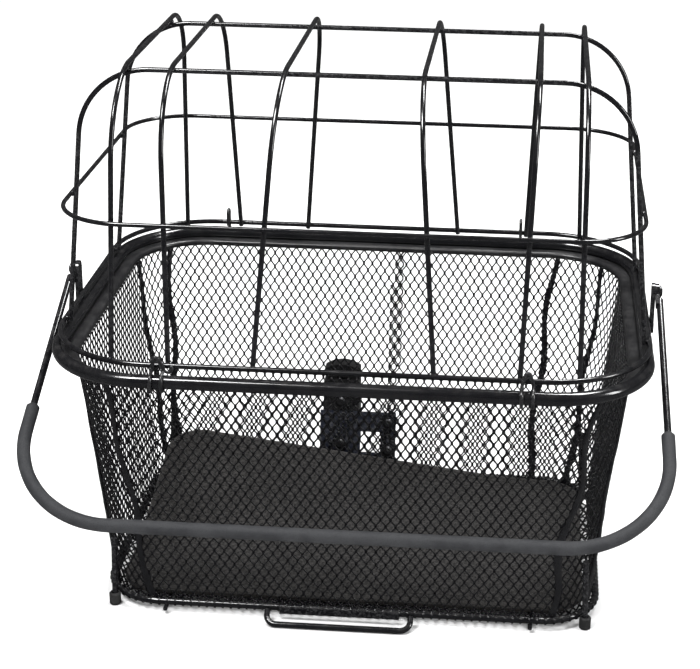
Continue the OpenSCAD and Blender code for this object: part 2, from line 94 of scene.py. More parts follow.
def joined(parts: Sequence[tuple[Points, np.ndarray]]) -> tuple[Points, np.ndarray]:
    """Puts several pairs of points and quads together.

    Args:
        parts: the pairs.

    Returns:
        One pair, its quads renumbered.
    """
    verts, faces, start = [], [], 0
    for points, quads in parts:
        verts.append(points)
        faces.append(quads + start)
        start += len(points)
    return np.concatenate(verts), np.concatenate(faces)


def unit(v: Points) -> Points:
    """Scales each row to length one."""
    return v / np.maximum(np.linalg.norm(v, axis=-1, keepdims=True), 1e-12)


def drift(rng: np.random.Generator, count: int, every: int) -> Points:
    """Makes random values from -1 to 1 that change slowly along a row.

    Args:
        rng: where the values come from.
        count: how many values.
        every: distance between the values that are drawn.

    Returns:
        The row of values.
    """
    knots = np.arange(0, count + every, every)
    return np.interp(np.arange(count), knots, rng.uniform(-1, 1, len(knots)))


def tube_faces(rings: int, sides: int, closed: bool = False) -> list:
    """Lists the quads that join each ring of points to the next.

    Args:
        rings: how many rings.
        sides: points in a ring.
        closed: True where the last ring joins the first.

    Returns:
        Lists of four point numbers.
    """
    quads = []
    for i in range(rings if closed else rings - 1):
        here, there = i * sides, (i + 1) % rings * sides
        for k in range(sides):
            n = (k + 1) % sides
            quads.append([here + k, here + n, there + n, there + k])
    return quads


def capped(rings: int, sides: int) -> list:
    """Lists the faces of an open tube with a flat cap on each end."""
    caps = [list(range(sides - 1, -1, -1)), list(range((rings - 1) * sides, rings * sides))]
    return tube_faces(rings, sides) + caps


def turned(quad: Sequence[int]) -> list:
    """Faces a quad the other way, from the same first point."""
    return [quad[0], quad[3], quad[2], quad[1]]


def sweep_wire(path: Points, radius: Points | float, sides: int = 12) -> tuple[Points, list]:
    """Sweeps a round section along a path without twist.

    Args:
        path: the centre line's points.
        radius: one radius, or one for each point.
        sides: points round the section.

    Returns:
        The tube's points and its faces, with flat end caps.
    """
    count = len(path)
    radii = np.broadcast_to(np.asarray(radius, float), (count,))
    ahead = np.roll(path, -1, 0) - np.roll(path, 1, 0)
    ahead[0], ahead[-1] = path[1] - path[0], path[-1] - path[-2]
    ahead = unit(ahead)
    across = np.cross(ahead[0], (0.31, 0.17, 0.93))
    across /= np.linalg.norm(across)
    angles = np.arange(sides) * 2 * math.pi / sides
    rings = []
    for point, direction, size in zip(path, ahead, radii, strict=True):
        across = across - direction * (across @ direction)
        across /= np.linalg.norm(across)
        up = np.cross(direction, across)
        rings.append(point + size * (np.outer(np.cos(angles), across) + np.outer(np.sin(angles), up)))
    return np.concatenate(rings), capped(count, sides)


def flat_strands(
    stations: Points, normals: Points, width: float, thick: float, lean: Points
) -> tuple[Points, np.ndarray]:
    """Turns many short paths into flat bars of rectangular section.

    Args:
        stations: strand by station by xyz.
        normals: the sheet's outward normal at each station.
        width: of a bar, within the sheet.
        thick: of a bar, across the sheet.
        lean: turn of each bar about its own path, in radians.

    Returns:
        Points and quads, end caps included.
    """
    strands, count = stations.shape[:2]
    ahead = np.empty_like(stations)
    ahead[:, 1:-1] = stations[:, 2:] - stations[:, :-2]
    ahead[:, 0] = stations[:, 1] - stations[:, 0]
    ahead[:, -1] = stations[:, -1] - stations[:, -2]
    side = unit(np.cross(unit(ahead), normals))
    face = unit(np.cross(side, unit(ahead)))
    c, s = np.cos(lean)[:, None, None], np.sin(lean)[:, None, None]
    side, face = side * c + face * s, face * c - side * s
    corners = [(1, 1), (-1, 1), (-1, -1), (1, -1)]
    ring = np.stack([stations + side * (a * width / 2) + face * (b * thick / 2) for a, b in corners], 2)
    start = (np.arange(strands) * count * 4)[:, None, None]
    return ring.reshape(-1, 3), (np.array(capped(count, 4))[None] + start).reshape(-1, 4)


def rounded_ring(
    half_w: float, half_d: float, corner_r: float, step: float
) -> tuple[Points, Points]:
    """Samples a rounded rectangle about the middle line.

    Args:
        half_w: half of the width.
        half_d: half of the depth.
        corner_r: corner radius.
        step: distance between points.

    Returns:
        Points in the plane and their outward directions, both two columns wide.
    """
    points, outward = [], []
    corners = [(half_w - corner_r, half_d - corner_r, 0), (corner_r - half_w, half_d - corner_r, 90),
               (corner_r - half_w, corner_r - half_d, 180), (half_w - corner_r, corner_r - half_d, 270)]
    for k, (cx, cy, start) in enumerate(corners):
        turns = max(4, round(corner_r * math.pi / 2 / step))
        for i in range(turns + 1):
            a = math.radians(start + 90 * i / turns)
            points.append((cx + corner_r * math.cos(a), cy + corner_r * math.sin(a)))
            outward.append((math.cos(a), math.sin(a)))
        nx, ny, _ = corners[(k + 1) % 4]
        run = math.hypot(nx - cx, ny - cy)
        steps = max(1, round(run / step))
        a = math.radians(start + 90)
        for i in range(1, steps):
            x, y = cx + (nx - cx) * i / steps, cy + (ny - cy) * i / steps
            points.append((x + corner_r * math.cos(a), y + corner_r * math.sin(a)))
            outward.append((math.cos(a), math.sin(a)))
    return np.array(points), np.array(outward)


# ---- shared effects, each one a node group ----
class Effects:
    """Node groups that more than one finish uses, built once each."""

    def __init__(self) -> None:
        """Starts with no group made."""
        self.made: dict[str, bpy.types.NodeTree] = {}

    def get(self, name: str) -> bpy.types.NodeTree:
        """Returns the group of that name, making it at first use."""
        if name not in self.made:
            self.made[name] = getattr(self, "make_" + name)()
        return self.made[name]

    def start(self, name: str, inputs: dict[str, float], outputs: Sequence[str]) -> tuple:
        """Makes an empty group with float sockets.

        Args:
            name: the group's name.
            inputs: socket names with their default values.
            outputs: socket names.

        Returns:
            The tree, its input node and its output node.
        """
        tree = bpy.data.node_groups.new(name, "ShaderNodeTree")
        for socket, value in inputs.items():
            made = tree.interface.new_socket(name=socket, in_out="INPUT", socket_type="NodeSocketFloat")
            made.default_value = value
        for socket in outputs:
            tree.interface.new_socket(name=socket, in_out="OUTPUT", socket_type="NodeSocketFloat")
        return tree, tree.nodes.new("NodeGroupInput"), tree.nodes.new("NodeGroupOutput")

    @staticmethod
    def noise(tree: bpy.types.NodeTree, detail: float, rough: float) -> bpy.types.Node:
        """Adds a noise texture that reads the piece's own coordinates.

        Args:
            tree: the group it goes into.
            detail: number of finer layers.
            rough: strength of the finer layers.

        Returns:
            The noise node.
        """
        place = tree.nodes.new("ShaderNodeTexCoord")
        node = tree.nodes.new("ShaderNodeTexNoise")
        node.inputs["Detail"].default_value = detail
        node.inputs["Roughness"].default_value = rough
        tree.links.new(place.outputs["Object"], node.inputs["Vector"])
        return node

    @staticmethod
    def span(
        tree: bpy.types.NodeTree, source: bpy.types.NodeSocket, low: float, high: float
    ) -> bpy.types.Node:
        """Adds a smooth step.

        Args:
            tree: the group it goes into.
            source: the value that it reads.
            low: value that gives 0.
            high: value that gives 1.

        Returns:
            The step's node.
        """
        node = tree.nodes.new("ShaderNodeMapRange")
        node.interpolation_type = "SMOOTHSTEP"
        node.inputs["From Min"].default_value = low
        node.inputs["From Max"].default_value = high
        tree.links.new(source, node.inputs["Value"])
        return node

    @staticmethod
    def math(tree: bpy.types.NodeTree, kind: str, a: object, b: object) -> bpy.types.Node:
        """Adds a math node.

        Args:
            tree: the tree it goes into.
            kind: Blender's name of the operation.
            a: first operand, a socket or a number.
            b: second operand, a socket or a number.

        Returns:
            The math node.
        """
        node = tree.nodes.new("ShaderNodeMath")
        node.operation = kind
        for socket, value in zip(node.inputs, (a, b), strict=False):
            if isinstance(value, bpy.types.NodeSocket):
                tree.links.new(value, socket)
            else:
                socket.default_value = value
        return node

    def make_mottle(self) -> bpy.types.NodeTree:
        """Slow cloudy change over a surface, as a mask."""
        tree, start, end = self.start("mottle", {"Scale": 40.0}, ["Mask"])
        clouds = self.noise(tree, 4, 0.6)
        tree.links.new(start.outputs["Scale"], clouds.inputs["Scale"])
        tree.links.new(self.span(tree, clouds.outputs["Fac"], 0.35, 0.65).outputs[0], end.inputs["Mask"])
        return tree

    def make_orange_peel(self) -> bpy.types.NodeTree:
        """Low waves and a fine grain of sprayed powder, as a height."""
        tree, start, end = self.start("orange_peel", {"Scale": 700.0, "Grain": 0.3}, ["Height"])
        waves = self.noise(tree, 1, 0.4)
        grain = self.noise(tree, 2, 0.7)
        finer = self.math(tree, "MULTIPLY", start.outputs["Scale"], 5.0)
        tree.links.new(start.outputs["Scale"], waves.inputs["Scale"])
        tree.links.new(finer.outputs[0], grain.inputs["Scale"])
        share = self.math(tree, "MULTIPLY", grain.outputs["Fac"], start.outputs["Grain"])
        total = self.math(tree, "ADD", waves.outputs["Fac"], share.outputs[0])
        tree.links.new(total.outputs[0], end.inputs["Height"])
        return tree

    def make_edge_wear(self) -> bpy.types.NodeTree:
        """Rubbed outer edges, broken up by noise, as a mask."""
        tree, start, end = self.start("edge_wear", {"Scale": 300.0, "Amount": 0.5}, ["Mask"])
        shape = tree.nodes.new("ShaderNodeNewGeometry")
        edges = self.span(tree, shape.outputs["Pointiness"], 0.53, 0.62)
        chips = self.noise(tree, 5, 0.75)
        tree.links.new(start.outputs["Scale"], chips.inputs["Scale"])
        broken = self.span(tree, chips.outputs["Fac"], 0.45, 0.62)
        both = self.math(tree, "MULTIPLY", edges.outputs[0], broken.outputs[0])
        total = self.math(tree, "MULTIPLY", both.outputs[0], start.outputs["Amount"])
        tree.links.new(total.outputs[0], end.inputs["Mask"])
        return tree

    def make_dust(self) -> bpy.types.NodeTree:
        """Thin dust that lies on faces that look up, as a mask."""
        tree, start, end = self.start("dust", {"Scale": 90.0, "Amount": 0.3}, ["Mask"])
        shape = tree.nodes.new("ShaderNodeNewGeometry")
        split = tree.nodes.new("ShaderNodeSeparateXYZ")
        tree.links.new(shape.outputs["Normal"], split.inputs[0])
        upward = self.span(tree, split.outputs["Z"], 0.2, 0.95)
        specks = self.noise(tree, 6, 0.7)
        tree.links.new(start.outputs["Scale"], specks.inputs["Scale"])
        lying = self.span(tree, specks.outputs["Fac"], 0.42, 0.7)
        both = self.math(tree, "MULTIPLY", upward.outputs[0], lying.outputs[0])
        total = self.math(tree, "MULTIPLY", both.outputs[0], start.outputs["Amount"])
        tree.links.new(total.outputs[0], end.inputs["Mask"])
        return tree

    def make_pores(self) -> bpy.types.NodeTree:
        """Skin of closed cells with small pits, as a height and a mask of the pits."""
        tree, start, end = self.start("pores", {"Scale": 1400.0}, ["Height", "Mask"])
        place = tree.nodes.new("ShaderNodeTexCoord")
        cells = tree.nodes.new("ShaderNodeTexVoronoi")
        tree.links.new(place.outputs["Object"], cells.inputs["Vector"])
        tree.links.new(start.outputs["Scale"], cells.inputs["Scale"])
        pits = self.span(tree, cells.outputs["Distance"], 0.05, 0.45)
        tree.links.new(pits.outputs[0], end.inputs["Height"])
        hollow = self.math(tree, "SUBTRACT", 1.0, pits.outputs[0])
        tree.links.new(hollow.outputs[0], end.inputs["Mask"])
        return tree

    def make_relief(self) -> bpy.types.NodeTree:
        """Raised parts of a surface against its hollows, as a mask."""
        tree, start, end = self.start("relief", {"Low": 0.45, "High": 0.55}, ["Mask"])
        shape = tree.nodes.new("ShaderNodeNewGeometry")
        raised = self.span(tree, shape.outputs["Pointiness"], 0.45, 0.55)
        tree.links.new(start.outputs["Low"], raised.inputs["From Min"])
        tree.links.new(start.outputs["High"], raised.inputs["From Max"])
        tree.links.new(raised.outputs[0], end.inputs["Mask"])
        return tree

    def make_ribbed_weave(self) -> bpy.types.NodeTree:
        """Crossing ribs of coarse yarn with loose fibre, as a height."""
        tree, start, end = self.start("ribbed_weave", {"Scale": 500.0}, ["Height"])
        place = tree.nodes.new("ShaderNodeTexCoord")
        heights = []
        for direction in ("X", "Y"):
            rib = tree.nodes.new("ShaderNodeTexWave")
            rib.bands_direction = direction
            rib.inputs["Distortion"].default_value = 1.6
            rib.inputs["Detail"].default_value = 2.0
            tree.links.new(place.outputs["Object"], rib.inputs["Vector"])
            tree.links.new(start.outputs["Scale"], rib.inputs["Scale"])
            heights.append(rib.outputs["Fac"])
        ribs = self.math(tree, "MULTIPLY", heights[0], heights[1])
        fibre = self.noise(tree, 6, 0.8)
        finer = self.math(tree, "MULTIPLY", start.outputs["Scale"], 3.0)
        tree.links.new(finer.outputs[0], fibre.inputs["Scale"])
        loose = self.math(tree, "MULTIPLY", fibre.outputs["Fac"], 0.5)
        total = self.math(tree, "ADD", ribs.outputs[0], loose.outputs[0])
        tree.links.new(total.outputs[0], end.inputs["Height"])
        return tree


class Surface:
    """One material in the making: a Principled shader and what feeds it."""

    def __init__(self, name: str, effects: Effects) -> None:
        """Makes the material and finds its shader."""
        self.material = bpy.data.materials.new(name)
        self.material.use_nodes = True
        self.tree = self.material.node_tree
        self.shader = self.tree.nodes["Principled BSDF"]
        self.effects = effects

    def set(self, **sockets: object) -> None:
        """Sets constant values on the shader; an underscore stands for a space."""
        for name, value in sockets.items():
            self.shader.inputs[name.replace("_", " ")].default_value = value

    def effect(self, name: str, **values: float) -> bpy.types.Node:
        """Places a shared effect with its own values and returns its node."""
        node = self.tree.nodes.new("ShaderNodeGroup")
        node.node_tree = self.effects.get(name)
        for socket, value in values.items():
            node.inputs[socket].default_value = value
        return node

    def blend(
        self, mask: bpy.types.NodeSocket, first: object, second: object
    ) -> bpy.types.NodeSocket:
        """Mixes two colours by a mask.

        Args:
            mask: 0 shows the first colour and 1 the second.
            first: a colour, or a socket that gives one.
            second: a colour, or a socket that gives one.

        Returns:
            The socket of the mixed colour.
        """
        node = self.tree.nodes.new("ShaderNodeMix")
        node.data_type = "RGBA"
        self.tree.links.new(mask, node.inputs["Factor"])
        for socket, colour in ((node.inputs[6], first), (node.inputs[7], second)):
            if isinstance(colour, bpy.types.NodeSocket):
                self.tree.links.new(colour, socket)
            else:
                socket.default_value = (*colour, 1)
        return node.outputs[2]

    def between(self, mask: bpy.types.NodeSocket, low: float, high: float) -> bpy.types.NodeSocket:
        """Runs a value by a mask.

        Args:
            mask: 0 gives low and 1 gives high.
            low: the value at 0.
            high: the value at 1.

        Returns:
            The socket of the value.
        """
        node = self.tree.nodes.new("ShaderNodeMapRange")
        node.inputs["To Min"].default_value = low
        node.inputs["To Max"].default_value = high
        self.tree.links.new(mask, node.inputs["Value"])
        return node.outputs["Result"]

    def feed(self, socket: str, source: bpy.types.NodeSocket) -> None:
        """Links a changing value or colour to the shader."""
        self.tree.links.new(source, self.shader.inputs[socket])

    def bump(self, height: bpy.types.NodeSocket, depth: float, strength: float) -> None:
        """Adds fine relief.

        Args:
            height: the relief, from 0 to 1.
            depth: its depth in metres.
            strength: how much of it shows.
        """
        node = self.tree.nodes.new("ShaderNodeBump")
        node.inputs["Strength"].default_value = strength
        node.inputs["Distance"].default_value = depth
        self.tree.links.new(height, node.inputs["Height"])
        self.tree.links.new(node.outputs["Normal"], self.shader.inputs["Normal"])


# ---- finishes ----
@dataclass(frozen=True)
class PowderCoat:
    """Baked black powder on steel, rubbed grey at its edges."""

    name: str
    colour: Colour = (0.004, 0.004, 0.005)
    cloud: Colour = (0.007, 0.007, 0.008)
    worn: Colour = (0.12, 0.12, 0.125)
    gloss: tuple[float, float] = (0.11, 0.2)
    peel: float = 0.00003
    wear: float = 0.25
    coat: float = 0.5
    specular: float = 0.5

    def build(self, effects: Effects) -> bpy.types.Material:
        """Builds the material."""
        s = Surface(self.name, effects)
        s.set(Coat_Weight=self.coat, Coat_Roughness=0.07, Specular_IOR_Level=self.specular)
        clouds = s.effect("mottle", Scale=55.0)
        wear = s.effect("edge_wear", Scale=420.0, Amount=self.wear)
        dust = s.effect("dust", Scale=160.0, Amount=0.06)
        colour = s.blend(clouds.outputs["Mask"], self.colour, self.cloud)
        colour = s.blend(wear.outputs["Mask"], colour, self.worn)
        s.feed("Base Color", s.blend(dust.outputs["Mask"], colour, (0.25, 0.24, 0.23)))
        s.feed("Roughness", s.between(clouds.outputs["Mask"], *self.gloss))
        s.bump(s.effect("orange_peel", Scale=900.0, Grain=0.25).outputs["Height"], self.peel, 0.5)
        return s.material


@dataclass(frozen=True)
class Foam:
    """Closed-cell foam sleeve, matt and slightly mottled."""

    name: str = "grip_foam"
    colour: Colour = (0.026, 0.027, 0.030)
    pale: Colour = (0.038, 0.039, 0.042)
    # painted shade colour for the pits
    pit_shade: Colour = (0.014, 0.014, 0.015)

    def build(self, effects: Effects) -> bpy.types.Material:
        """Builds the material."""
        s = Surface(self.name, effects)
        s.set(Specular_IOR_Level=0.28)
        clouds = s.effect("mottle", Scale=70.0)
        pores = s.effect("pores", Scale=1500.0)
        dust = s.effect("dust", Scale=500.0, Amount=0.12)
        colour = s.blend(clouds.outputs["Mask"], self.colour, self.pale)
        # painted shade: the pits, low in the bump, are darkened
        colour = s.blend(pores.outputs["Mask"], colour, self.pit_shade)
        s.feed("Base Color", s.blend(dust.outputs["Mask"], colour, (0.09, 0.09, 0.09)))
        s.feed("Roughness", s.between(clouds.outputs["Mask"], 0.62, 0.8))
        s.bump(pores.outputs["Height"], 0.00012, 0.6)
        return s.material


@dataclass(frozen=True)
class Matting:
    """Charcoal looped matting with a ribbed weave, its hollows darkened with painted shade."""

    name: str = "mat_fabric"
    colour: Colour = (0.017, 0.016, 0.0155)
    pale: Colour = (0.033, 0.031, 0.030)
    # painted shade colour for the hollows between the studs
    hollow_shade: Colour = (0.003, 0.003, 0.003)

    def build(self, effects: Effects) -> bpy.types.Material:
        """Builds the material."""
        s = Surface(self.name, effects)
        s.set(Specular_IOR_Level=0.15, Sheen_Weight=0.06, Sheen_Roughness=0.5)
        clouds = s.effect("mottle", Scale=25.0)
        weave = s.effect("ribbed_weave", Scale=260.0)
        tufts = s.effect("mottle", Scale=620.0)
        relief = s.effect("relief", Low=0.46, High=0.53)
        raised = s.blend(clouds.outputs["Mask"], self.colour, self.pale)
        raised = s.blend(tufts.outputs["Mask"], raised, self.pale)
        # painted shade: the relief mask darkens the hollows between the raised studs near black
        s.feed("Base Color", s.blend(relief.outputs["Mask"], self.hollow_shade, raised))
        s.feed("Roughness", s.between(tufts.outputs["Mask"], 0.8, 0.95))
        s.bump(weave.outputs["Height"], 0.0005, 0.8)
        return s.material


@dataclass(frozen=True)
class Moulded:
    """Moulded rubber or plastic with a fine spark-eroded grain."""

    name: str
    colour: Colour
    pale: Colour
    rough: tuple[float, float]
    grain: float = 2600.0
    depth: float = 0.00004

    def build(self, effects: Effects) -> bpy.types.Material:
        """Builds the material."""
        s = Surface(self.name, effects)
        s.set(Specular_IOR_Level=0.45)
        clouds = s.effect("mottle", Scale=90.0)
        wear = s.effect("edge_wear", Scale=500.0, Amount=0.4)
        colour = s.blend(clouds.outputs["Mask"], self.colour, self.pale)
        s.feed("Base Color", s.blend(wear.outputs["Mask"], colour, (0.09, 0.09, 0.09)))
        s.feed("Roughness", s.between(clouds.outputs["Mask"], *self.rough))
        s.bump(s.effect("orange_peel", Scale=self.grain, Grain=0.6).outputs["Height"], self.depth, 0.6)
        return s.material


@dataclass(frozen=True)
class PlatedSteel:
    """Zinc or spring steel, cloudy and faintly drawn."""

    name: str
    colour: Colour
    dull: Colour
    rough: tuple[float, float] = (0.28, 0.5)

    def build(self, effects: Effects) -> bpy.types.Material:
        """Builds the material."""
        s = Surface(self.name, effects)
        s.set(Metallic=1.0)
        clouds = s.effect("mottle", Scale=400.0)
        wear = s.effect("edge_wear", Scale=700.0, Amount=0.6)
        colour = s.blend(clouds.outputs["Mask"], self.colour, self.dull)
        s.feed("Base Color", s.blend(wear.outputs["Mask"], colour, (0.7, 0.7, 0.72)))
        s.feed("Roughness", s.between(clouds.outputs["Mask"], *self.rough))
        s.bump(s.effect("orange_peel", Scale=3000.0, Grain=0.5).outputs["Height"], 0.00002, 0.5)
        return s.material


class Finishes:
    """Every finish of the basket, ready to wear."""

    def __init__(self) -> None:
        """Builds the materials, one for each slot of the record."""
        effects = Effects()
        kinds = [
            PowderCoat("frame_paint"),
            PowderCoat("mesh_paint", gloss=(0.2, 0.32), coat=0.2, wear=0.12, peel=0.00002, specular=0.45),
            PowderCoat("hem_paint", colour=(0.007, 0.007, 0.008), cloud=(0.012, 0.012, 0.013),
                       gloss=(0.3, 0.42), coat=0.2),
            PowderCoat("clip_paint", colour=(0.02, 0.02, 0.021), gloss=(0.22, 0.34), wear=0.7),
            PowderCoat("plate_paint", colour=(0.006, 0.008, 0.018), cloud=(0.009, 0.012, 0.026),
                       gloss=(0.3, 0.42), coat=0.3, wear=0.6),
            Foam(),
            Matting(),
            Moulded("foot_rubber", (0.012, 0.012, 0.012), (0.022, 0.022, 0.022), (0.55, 0.7)),
            Moulded("adapter_plastic", (0.004, 0.004, 0.0045), (0.008, 0.008, 0.0085), (0.36, 0.5)),
            PlatedSteel("fixing_steel", (0.10, 0.10, 0.105), (0.05, 0.05, 0.052)),
            PlatedSteel("spring_steel", (0.55, 0.55, 0.57), (0.4, 0.4, 0.42)),
        ]
        self.by_slot = {kind.name: kind.build(effects) for kind in kinds}

    def __getitem__(self, slot: str) -> bpy.types.Material:
        """Returns the material of that slot."""
        return self.by_slot[slot]


FINISHES = Finishes()
SLOT_OF = {part["node"]: part["material_slot"] for part in frame["record"]["subparts"]}


def dress(node: str) -> None:
    """Gives a carried-over design node the finish of its slot."""
    piece = frame["nodes"][node]
    piece.data.materials.clear()
    piece.data.materials.append(FINISHES[SLOT_OF[node]])
    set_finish(piece, SLOT_OF[node])
    log.info("%s: dressed in %s", node, SLOT_OF[node])


def settle(piece: bpy.types.Object, body: str, slot: str, *stands_for: str) -> bpy.types.Object:
    """Sets a new piece on its body, names its slot and hides the design nodes that it replaces.

    Args:
        piece: the new piece.
        body: the design body that carries it.
        slot: the record's material slot.
        stands_for: design nodes that it replaces.

    Returns:
        The same piece.
    """
    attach(piece, body)
    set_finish(piece, slot)
    if stands_for:
        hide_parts(*stands_for)
    log.info("%s: %d faces on %s", piece.name, len(piece.data.polygons), body)
    return piece


# ---- sizes that the pieces share ----
def middle_y() -> float:
    """Place of the basket's own middle line, front to back."""
    low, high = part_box("rim_tube")
    return (low.y + high.y) / 2


BASKET_Y = middle_y()


def placed(points: Points) -> Points:
    """Moves points drawn about the basket's middle line into the frame."""
    return points + np.array([0, BASKET_Y, 0])


@dataclass(frozen=True)
class RimSizes:
    """Centre line of the rim tube, taken from its node."""

    corner_r: float = 0.065
    tube_d: float = 0.009

    @property
    def half_w(self) -> float:
        """Half of the width between centre lines."""
        low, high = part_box("rim_tube")
        return (high.x - low.x - self.tube_d) / 2

    @property
    def half_d(self) -> float:
        """Half of the depth between centre lines."""
        low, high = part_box("rim_tube")
        return (high.y - low.y - self.tube_d) / 2

    @property
    def height(self) -> float:
        """Height of the centre line."""
        low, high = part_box("rim_tube")
        return (high.z + low.z) / 2


class Side(Enum):
    """The four straight faces of the basket."""

    FRONT = "front"
    BACK = "back"
    LEFT = "left"
    RIGHT = "right"


class Corner(Enum):
    """The four corners, as signs of x and y."""

    FRONT_LEFT = (-1, -1)
    FRONT_RIGHT = (1, -1)
    BACK_LEFT = (-1, 1)
    BACK_RIGHT = (1, 1)


@dataclass(frozen=True)
class WallShape:
    """Middle surface of the tapering mesh wall."""

    low_w: float = 0.1662
    low_d: float = 0.1037
    low_r: float = 0.0367
    top_w: float = 0.1833
    top_d: float = 0.1363
    top_r: float = 0.0533
    low_z: float = 0.0072
    top_z: float = 0.1858
    bow: float = 0.06

    def share(self, z: Points, side: Side) -> Points:
        """Finds how far up the taper a height is.

        Args:
            z: the height.
            side: the face; all but the back flare out near the top.

        Returns:
            0 at the bottom and 1 at the top.
        """
        t = (z - self.low_z) / (self.top_z - self.low_z)
        return t if side is Side.BACK else t - self.bow * np.sin(np.pi * np.clip(t, 0, 1))

    def sizes(self, z: Points, side: Side) -> tuple[Points, Points, Points]:
        """Finds a face's outline at a height.

        Args:
            z: the height.
            side: the face.

        Returns:
            Half length of its straight part, its distance from the middle, and the corner radius.
        """
        t = self.share(z, side)
        w = self.low_w + (self.top_w - self.low_w) * t
        d = self.low_d + (self.top_d - self.low_d) * t
        r = self.low_r + (self.top_r - self.low_r) * t
        return (w - r, d, r) if side in (Side.FRONT, Side.BACK) else (d - r, w, r)

    def at(self, side: Side, s: Points, z: Points, out: Points | float = 0.0) -> tuple[Points, Points]:
        """Finds points on the wall.

        Args:
            side: the face that s is measured on, from its middle.
            s: distance along the wall, which runs on round the corners.
            z: height.
            out: distance outside the middle surface.

        Returns:
            The points and their outward normals.
        """
        straight, reach, r = self.sizes(z, side)
        past = np.maximum(np.abs(s) - straight, 0) / r
        along = np.sign(s) * (np.minimum(np.abs(s), straight) + r * np.sin(past))
        away = reach - r + r * np.cos(past)
        n_along, n_away = np.sign(s) * np.sin(past), np.cos(past)
        fall = (self.top_d - self.low_d) / (self.top_z - self.low_z)
        turn = {
            Side.FRONT: (1, 0, 0, -1),
            Side.BACK: (-1, 0, 0, 1),
            Side.LEFT: (0, -1, -1, 0),
            Side.RIGHT: (0, 1, 1, 0),
        }
        ax, ay, bx, by = turn[side]
        nx, ny = ax * n_along + bx * n_away, ay * n_along + by * n_away
        normal = unit(np.stack([nx, ny, np.full_like(z, -fall)], -1))
        points = np.stack([ax * along + bx * away, ay * along + by * away, z], -1)
        return points + normal * np.asarray(out)[..., None], normal


@dataclass(frozen=True)
class Pleat:
    """A pressed fold in a corner, at angles from 0 by the side face to 90 by the front or back."""

    name: str
    corner: Corner
    top_deg: float
    low_deg: float
    wave_deg: float = 3.0
    phase: float = 0.0

    def degrees(self, t: Points) -> Points:
        """Returns the fold's angle at share t of the wall's height."""
        line = self.low_deg + (self.top_deg - self.low_deg) * t
        return line + self.wave_deg * np.sin(13 * t + self.phase) * (1 - 0.3 * t)

    def on(self, side: Side, shape: WallShape, z: Points) -> Points:
        """Finds the fold on an adjoining face.

        Args:
            side: the face.
            shape: the wall.
            z: the height.

        Returns:
            Its unsigned distance from the face's middle, along the wall.
        """
        t = (z - shape.low_z) / (shape.top_z - shape.low_z)
        straight, _, r = shape.sizes(z, side)
        turn = self.degrees(t) if side in (Side.LEFT, Side.RIGHT) else 90 - self.degrees(t)
        return straight + r * np.radians(turn)


PLEATS = {
    p.name: p
    for p in [
        Pleat("front_left_side", Corner.FRONT_LEFT, 10, 26, 3, 0.6),
        Pleat("front_left_front", Corner.FRONT_LEFT, 60, 80, 3, 2.2),
        Pleat("front_right_side", Corner.FRONT_RIGHT, 8, 26, 4, 1.0),
        Pleat("front_right_front", Corner.FRONT_RIGHT, 50, 78, 5, 3.4),
        Pleat("back_left_side", Corner.BACK_LEFT, 10, 32, 3, 2.0),
        Pleat("back_left_back", Corner.BACK_LEFT, 50, 46, 3, 0.4),
        Pleat("back_right_side", Corner.BACK_RIGHT, 39, 55, 3, 1.5),
        Pleat("back_right_back", Corner.BACK_RIGHT, 84, 103, 3, 4.2),
    ]
}


@dataclass(frozen=True)
class Panel:
    """A stretch of wall between two folds, laid out from one face's middle."""

    side: Side
    low_edge: Callable[[Points], Points]
    high_edge: Callable[[Points], Points]
    shift: float = 0.0


